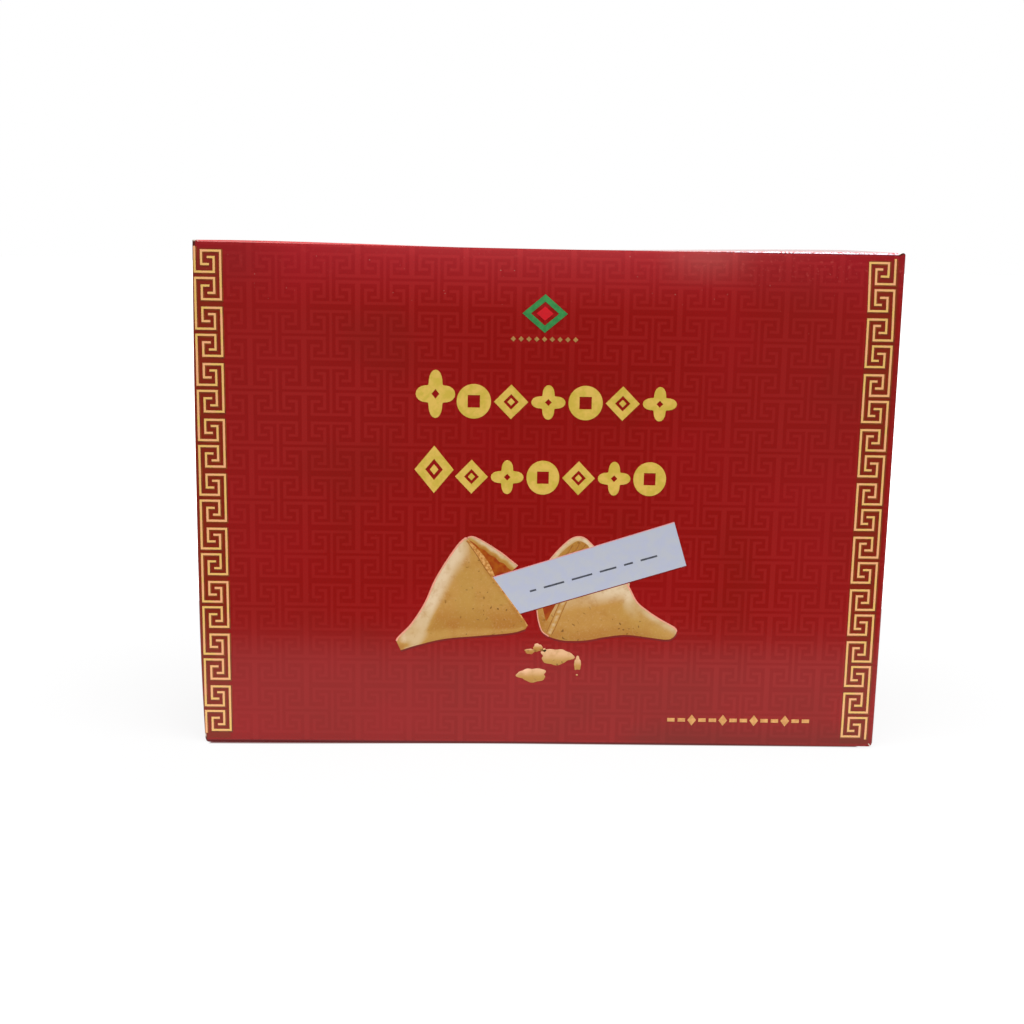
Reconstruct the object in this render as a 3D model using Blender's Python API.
"""A shut paperboard biscuit carton, folded from one sheet, with a tuck-in lid and base.

Units are metres and +Z is up. The printed front faces -Y, and the origin is the middle of the
base. The carton is shut, so it is one solid: its folds, cut edges and seams are in the surface.
"""
import math

import bmesh
import bpy
from mathutils import Matrix, Vector

# Driving dimensions
WIDTH = 0.200            # across the front
DEPTH = 0.060
HEIGHT = 0.146
BOARD = 0.0005           # thickness of the paperboard
FOLD_RADIUS = 0.0008     # outside radius of a scored fold
LID_RISE = 0.0004        # the lid's front fold stands this far above the front panel's cut edge
SLOT_GAP = 0.0003        # between the front panel and the tuck flap behind it
SLOT_DEPTH = 0.0030
LID_INSET_LEFT = 0.0011  # from the outer side face in to the lid's cut edge
LID_INSET_RIGHT = 0.0021
NOTCH_LENGTH = 0.0016    # the dust flap's front end is cut back this far behind the front panel
NOTCH_DEPTH = 0.0024
SEAM_WIDTH = 0.0003      # the glued lap ends in a line beside one back corner
SEAM_DEPTH = 0.0003

FOLD_SEGMENTS = 4
CUT_MARGIN = 0.002       # a cutter reaches this far past the surface that it cuts
WELD_DISTANCE = 0.00001
SMOOTH_ANGLE = math.radians(35)

RED_VARNISHED_BOARD = (0.31, 0.012, 0.010, 1.0)


def clear_scene():
    """Remove every object, so that the script gives the same model each time."""
    for obj in list(bpy.data.objects):
        bpy.data.objects.remove(obj)


def new_collection(name):
    """Return a new collection linked to the scene."""
    collection = bpy.data.collections.new(name)
    bpy.context.scene.collection.children.link(collection)
    return collection


def board_material():
    """Printed and varnished paperboard."""
    material = bpy.data.materials.new("varnished_board")
    material.use_nodes = True
    shader = material.node_tree.nodes["Principled BSDF"]
    shader.inputs["Base Color"].default_value = RED_VARNISHED_BOARD
    shader.inputs["Roughness"].default_value = 0.35
    shader.inputs["Metallic"].default_value = 0.0
    return material


def block(name, low, high, collection):
    """Return a box between two opposite corners."""
    size = Vector(high) - Vector(low)
    centre = (Vector(high) + Vector(low)) / 2
    bm = bmesh.new()
    bmesh.ops.create_cube(bm, size=1.0, matrix=Matrix.Diagonal((*size, 1.0)))
    mesh = bpy.data.meshes.new(name)
    bm.to_mesh(mesh)
    bm.free()
    obj = bpy.data.objects.new(name, mesh)
    obj.location = centre
    collection.objects.link(obj)
    return obj


def fold_arc(start, top):
    """Points of a rounded fold, from its upright face at start to its flat face at height top."""
    centre = (start + FOLD_RADIUS, top - FOLD_RADIUS)
    angles = [math.radians(180 - 90 * i / FOLD_SEGMENTS) for i in range(FOLD_SEGMENTS + 1)]
    return [(centre[0] + FOLD_RADIUS * math.cos(a), centre[1] + FOLD_RADIUS * math.sin(a))
            for a in angles]


def tuck_outline():
    """What is cut away along the front edge: above the front panel, behind it, round the lid's fold."""
    fold_start = BOARD + SLOT_GAP
    return [(-CUT_MARGIN, CUT_MARGIN),
            (-CUT_MARGIN, -LID_RISE),
            (BOARD, -LID_RISE),
            (BOARD, -SLOT_DEPTH),
            (fold_start, -SLOT_DEPTH),
            *fold_arc(fold_start, 0.0),
            (fold_start + FOLD_RADIUS, CUT_MARGIN)]


def side_outline(lid_inset):
    """What is cut away along a side edge: round the dust flap's fold, up to the lid's cut edge."""
    return [(-CUT_MARGIN, CUT_MARGIN),
            (-CUT_MARGIN, -BOARD - FOLD_RADIUS),
            *fold_arc(0.0, -BOARD),
            (lid_inset, -BOARD),
            (lid_inset, CUT_MARGIN)]


def edge_cutter(name, outline, corner, inward, outward, length, collection):
    """Return a bar with the given outline, laid along a box edge.

    The outline's first number runs inward from the edge, and its second runs outward past the
    face that the edge bounds.
    """
    curve = bpy.data.curves.new(name, "CURVE")
    curve.dimensions = "2D"
    curve.fill_mode = "BOTH"
    curve.extrude = length / 2
    spline = curve.splines.new("POLY")
    spline.points.add(len(outline) - 1)
    for point, (across, up) in zip(spline.points, outline):
        point.co = (across, up, 0.0, 1.0)
    spline.use_cyclic_u = True
    guide = bpy.data.objects.new(name + "_outline", curve)
    inward = Vector(inward)
    outward = Vector(outward)
    turn = Matrix((inward, outward, inward.cross(outward))).transposed()
    guide.matrix_world = Matrix.Translation(corner) @ turn.to_4x4()
    collection.objects.link(guide)
    bpy.context.view_layer.update()

    depsgraph = bpy.context.evaluated_depsgraph_get()
    mesh = bpy.data.meshes.new_from_object(guide.evaluated_get(depsgraph))
    bm = bmesh.new()
    bm.from_mesh(mesh)
    bmesh.ops.remove_doubles(bm, verts=bm.verts, dist=WELD_DISTANCE)
    bmesh.ops.recalc_face_normals(bm, faces=bm.faces)
    bm.to_mesh(mesh)
    bm.free()
    cutter = bpy.data.objects.new(name, mesh)
    cutter.matrix_world = guide.matrix_world
    collection.objects.link(cutter)
    bpy.data.objects.remove(guide)
    return cutter


def end_cutters(end, level, outward, collection):
    """Return the cutters round one end of the carton: the lid's at the top, or the base's."""
    up = Vector((0.0, 0.0, outward))
    reach = 2 * CUT_MARGIN
    cutters = [edge_cutter(end + "_tuck", tuck_outline(), (0.0, -DEPTH / 2, level),
                           (0.0, 1.0, 0.0), up, WIDTH + reach, collection)]
    for side, sign, lid_inset in (("left", -1, LID_INSET_LEFT), ("right", 1, LID_INSET_RIGHT)):
        cutters.append(edge_cutter(end + "_" + side, side_outline(lid_inset),
                                   (sign * WIDTH / 2, 0.0, level), (-sign, 0.0, 0.0), up,
                                   DEPTH + reach, collection))
        xs = sorted((sign * (WIDTH / 2 - BOARD), sign * (WIDTH / 2 - lid_inset)))
        zs = sorted((level + outward * CUT_MARGIN, level - outward * NOTCH_DEPTH))
        front = -DEPTH / 2 + BOARD
        cutters.append(block(end + "_" + side + "_notch", (xs[0], front, zs[0]),
                             (xs[1], front + NOTCH_LENGTH, zs[1]), collection))
    return cutters


def round_folds(obj):
    """Round the upright folds and the two folds across the back, leaving the glued corner square."""
    bm = bmesh.new()
    bm.from_mesh(obj.data)
    folds = []
    for edge in bm.edges:
        middle = (edge.verts[0].co + edge.verts[1].co) / 2
        along = edge.verts[1].co - edge.verts[0].co
        upright = abs(along.z) > HEIGHT / 2
        glued = middle.x < 0 < middle.y
        across_back = abs(along.x) > WIDTH / 2 and middle.y > 0
        if (upright and not glued) or across_back:
            folds.append(edge)
    bmesh.ops.bevel(bm, geom=folds, offset=FOLD_RADIUS, segments=FOLD_SEGMENTS, profile=0.5,
                    affect="EDGES", clamp_overlap=True)
    bm.to_mesh(obj.data)
    bm.free()


def build_carton():
    """Model the carton as one solid with its seams cut in."""
    parts = new_collection("biscuit_carton")
    cutting = new_collection("cutters")
    carton = block("carton", (-WIDTH / 2, -DEPTH / 2, 0.0), (WIDTH / 2, DEPTH / 2, HEIGHT), parts)
    round_folds(carton)
    carton.data.materials.append(board_material())

    cutters = end_cutters("lid", HEIGHT, 1, cutting) + end_cutters("base", 0.0, -1, cutting)
    seam_y = DEPTH / 2 - BOARD
    cutters.append(block("glue_seam", (-WIDTH / 2 - CUT_MARGIN, seam_y - SEAM_WIDTH, -CUT_MARGIN),
                         (-WIDTH / 2 + SEAM_DEPTH, seam_y, HEIGHT + CUT_MARGIN), cutting))
    for cutter in cutters:
        cutter.hide_render = True
        cutter.display_type = "WIRE"
        cut = carton.modifiers.new(cutter.name, "BOOLEAN")
        cut.operation = "DIFFERENCE"
        cut.solver = "EXACT"
        cut.object = cutter
    carton.data.shade_smooth()
    carton.data.set_sharp_from_angle(angle=SMOOTH_ANGLE)


clear_scene()
build_carton()
